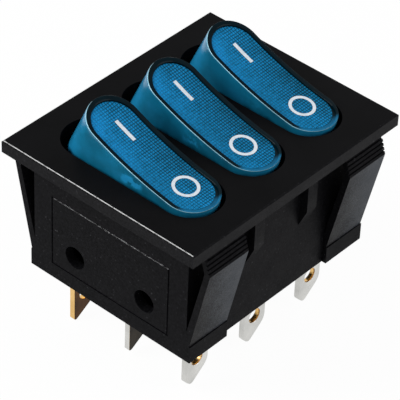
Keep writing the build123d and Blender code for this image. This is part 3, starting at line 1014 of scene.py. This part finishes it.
def coilMesh(radius, length):
    bm = bmesh.new()
    steps = coil["stepsPerTurn"] * coil["turns"]
    place = Matrix.Translation((radius, 0, coil["wire"] / 2)) @ Matrix.Rotation(radians(90), 4, "X")
    bmesh.ops.create_circle(bm, segments=coil["wireSides"], radius=coil["wire"] / 2, matrix=place)
    bmesh.ops.spin(
        bm, geom=list(bm.verts) + list(bm.edges), cent=(0, 0, 0), axis=(0, 0, 1),
        dvec=(0, 0, (length - coil["wire"]) / steps), angle=2 * pi * coil["turns"],
        steps=steps, use_merge=False,
    )
    bmesh.ops.remove_doubles(bm, verts=bm.verts, dist=weldGap)
    bmesh.ops.holes_fill(bm, edges=[e for e in bm.edges if e.is_boundary], sides=0)
    bmesh.ops.recalc_face_normals(bm, faces=bm.faces)
    return bm


def addSpring(name, number, radius, length, place, body):
    bm = coilMesh(radius, length)
    bm.transform(place)
    spring = finishedObject(f"{name}Spring.{number}", bm, [finishes["spring_steel"]], body, 50)
    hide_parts(f"{name}_spring_{number}")
    return spring


for number in switchNumbers:
    x = switchX(number)
    radius = coil["feedRadius"]
    lampFoot = Vector((x + coil["lampCentre"][0], coil["lampCentre"][1], coil["shelfLevel"]))
    place = Matrix.Translation(lampFoot)
    spring = addSpring("lamp", number, radius, coil["lampLength"], place, "base")
    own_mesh(spring)
    foot = Vector((x + coil["resistorCentre"][0], coil["resistorCentre"][1], coil["shelfLevel"]))
    place = Matrix.Translation(foot)
    spring = addSpring("resistor", number, radius, coil["resistorLength"], place, None)
    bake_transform(spring)
    place = restPlace(number) @ Matrix.Translation((0, 0, coil["plungerFoot"]))
    addSpring("plunger", number, coil["plungerRadius"], coil["plungerLength"], place, f"rocker_{number}")
print("springs done")


# studio: pale floor, soft lights, the photograph's camera

studio = {
    "cameraPlace": Vector((-191.79, -163.18, 196.58)) * mm,
    "cameraAim": Vector((-3.59, -3.18, -5.85)) * mm,
    "cameraRoll": 2.435,
    "sensor": 36.0,
    "lens": 234.1,
    "clipStart": 0.01,
    "floorDrop": 27.55 * mm,
    "floorSize": 6.0,
    "floorColour": (0.9, 0.9, 0.9, 1.0),
    "floorRoughness": 0.9,
    "floorGlow": 0.965,
    "worldLight": 0.45,
    "keySoftbox": {"place": (-0.36, 0.3, 0.36), "size": 0.35, "power": 2.6},
    "fillSoftbox": {"place": (0.25, -0.45, 0.25), "size": 0.4, "power": 1.2},
}


def facing(place, aim):
    # stands at place and looks at aim
    look = (aim - place).to_track_quat("-Z", "Y").to_matrix().to_4x4()
    return Matrix.Translation(place) @ look


def addCamera():
    camera = bpy.data.objects.new("studioCamera", bpy.data.cameras.new("studioCamera"))
    bpy.context.collection.objects.link(camera)
    camera.data.sensor_width = studio["sensor"]
    camera.data.lens = studio["lens"]
    camera.data.clip_start = studio["clipStart"]
    turn = Matrix.Rotation(radians(studio["cameraRoll"]), 4, "Z")
    camera.matrix_world = facing(studio["cameraPlace"], studio["cameraAim"]) @ turn
    bpy.context.scene.camera = camera


def addSoftbox(name):
    light = bpy.data.lights.new(name, "AREA")
    light.shape = "DISK"
    light.size = studio[name]["size"]
    light.energy = studio[name]["power"]
    box = bpy.data.objects.new(name, light)
    bpy.context.collection.objects.link(box)
    box.matrix_world = facing(Vector(studio[name]["place"]), Vector((0, 0, 0)))


def paleForSight(treeNodes, links):
    # 1 for what the camera sees directly, in a reflection or through glass, otherwise 0
    path = treeNodes.new("ShaderNodeLightPath")
    seen = path.outputs["Is Camera Ray"]
    for ray in ("Is Glossy Ray", "Is Transmission Ray"):
        seen = mathOn(treeNodes, links, "MAXIMUM", seen, path.outputs[ray])
    return seen


def addFloor():
    bm = bmesh.new()
    bmesh.ops.create_grid(bm, x_segments=1, y_segments=1, size=studio["floorSize"] / 2)
    bmesh.ops.translate(bm, verts=bm.verts, vec=(0, 0, -studio["floorDrop"]))
    mesh = bpy.data.meshes.new("studioFloor")
    bm.to_mesh(mesh)
    bm.free()
    material, treeNodes, links, shader = newMaterial("paleFloor")
    shader.inputs["Base Color"].default_value = studio["floorColour"]
    shader.inputs["Roughness"].default_value = studio["floorRoughness"]
    glow = treeNodes.new("ShaderNodeEmission")
    mixed = treeNodes.new("ShaderNodeMixShader")
    seen = paleForSight(treeNodes, links)
    share = mathOn(treeNodes, links, "MULTIPLY", seen, studio["floorGlow"])
    links.new(share, mixed.inputs["Fac"])
    links.new(shader.outputs["BSDF"], mixed.inputs[1])
    links.new(glow.outputs["Emission"], mixed.inputs[2])
    links.new(mixed.outputs["Shader"], treeNodes["Material Output"].inputs["Surface"])
    mesh.materials.append(material)
    floor = bpy.data.objects.new("studioFloor", mesh)
    bpy.context.collection.objects.link(floor)


def setWorld():
    world = bpy.data.worlds.new("studioWorld")
    bpy.context.scene.world = world
    world.use_nodes = True
    treeNodes = world.node_tree.nodes
    links = world.node_tree.links
    background = treeNodes["Background"]
    strength = treeNodes.new("ShaderNodeMix")
    links.new(paleForSight(treeNodes, links), strength.inputs["Factor"])
    strength.inputs["A"].default_value = studio["worldLight"]
    strength.inputs["B"].default_value = 1.0
    links.new(strength.outputs["Result"], background.inputs["Strength"])
    background.inputs["Color"].default_value = (1.0, 1.0, 1.0, 1.0)


addCamera()
addFloor()
setWorld()
addSoftbox("keySoftbox")
addSoftbox("fillSoftbox")
bpy.context.scene.view_settings.view_transform = "Standard"
print("studio done")
